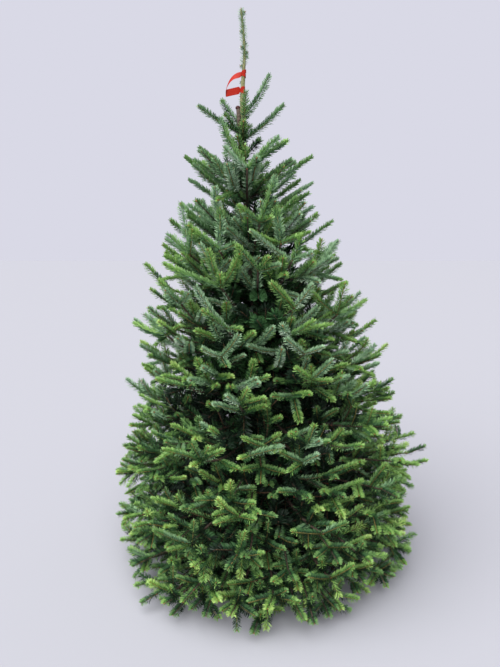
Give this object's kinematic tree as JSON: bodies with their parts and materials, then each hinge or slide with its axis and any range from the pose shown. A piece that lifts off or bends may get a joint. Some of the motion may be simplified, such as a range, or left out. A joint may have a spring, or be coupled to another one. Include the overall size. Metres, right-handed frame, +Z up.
{
  "type": "christmas tree",
  "caption": "Young rooted fir with a leaning trunk, a tall leading shoot with a red marking tape, and a full conical crown of needle-clad boughs down to the ground.",
  "frame": {"origin": "middle of the flat cut under the trunk, at ground level", "axes": "+Z up, +X to the right of the picture's view, -Y towards its camera. The trunk leans towards -X as it rises."},
  "size_m": [1.5265, 1.5254, 2.5204],
  "materials": {
    "bark": "rough grey-brown bark",
    "green_stem": "smooth young olive bark with short needles",
    "needles_top": "bluish waxy needles",
    "needles_upper": "glossy mid-green needles",
    "needles_lower": "glossy green needles, fresh green at the tips",
    "marking_tape": "thin red polythene ribbon"
  },
  "bodies": {
    "root": {"bough_03_4": "bark", "bough_03_5": "bark", "bough_04_5": "bark", "bough_05_4": "bark", "bough_06_2": "bark", "bough_07_3": "bark", "leader": "green_stem", "mass_01_1": "needles_upper", "mass_01_2": "needles_upper", "mass_01_3": "needles_upper", "mass_01_4": "needles_upper", "mass_01_5": "needles_upper", "mass_01_6": "needles_upper", "mass_02_1": "needles_upper", "mass_02_2": "needles_upper", "mass_02_3": "needles_upper", "mass_02_4": "needles_upper", "mass_02_5": "needles_upper", "mass_02_6": "needles_upper", "mass_03_1": "needles_upper", "mass_03_2": "needles_upper", "mass_03_3": "needles_upper", "mass_03_4": "needles_upper", "mass_03_5": "needles_upper", "mass_04_1": "needles_lower", "mass_04_2": "needles_lower", "mass_04_3": "needles_lower", "mass_04_4": "needles_lower", "mass_04_5": "needles_lower", "mass_05_1": "needles_lower", "mass_05_2": "needles_lower", "mass_05_3": "needles_lower", "mass_05_4": "needles_lower", "mass_05_5": "needles_lower", "mass_06_1": "needles_lower", "mass_06_2": "needles_lower", "mass_06_3": "needles_lower", "mass_06_4": "needles_lower", "mass_06_5": "needles_lower", "mass_07_1": "needles_lower", "mass_07_2": "needles_lower", "mass_07_3": "needles_lower", "mass_07_4": "needles_lower", "mass_07_5": "needles_lower", "mass_08_1": "needles_lower", "mass_08_2": "needles_lower", "mass_08_3": "needles_lower", "mass_08_4": "needles_lower", "mass_08_5": "needles_lower", "mass_09_1": "needles_lower", "mass_09_2": "needles_lower", "mass_09_3": "needles_lower", "mass_09_4": "needles_lower", "top_shoot_1": "needles_top", "top_shoot_2": "needles_top", "top_shoot_3": "needles_top", "top_shoot_4": "needles_top", "top_shoot_5": "needles_top", "top_shoot_6": "needles_top", "trunk": "bark"}
  },
  "joints": []
}
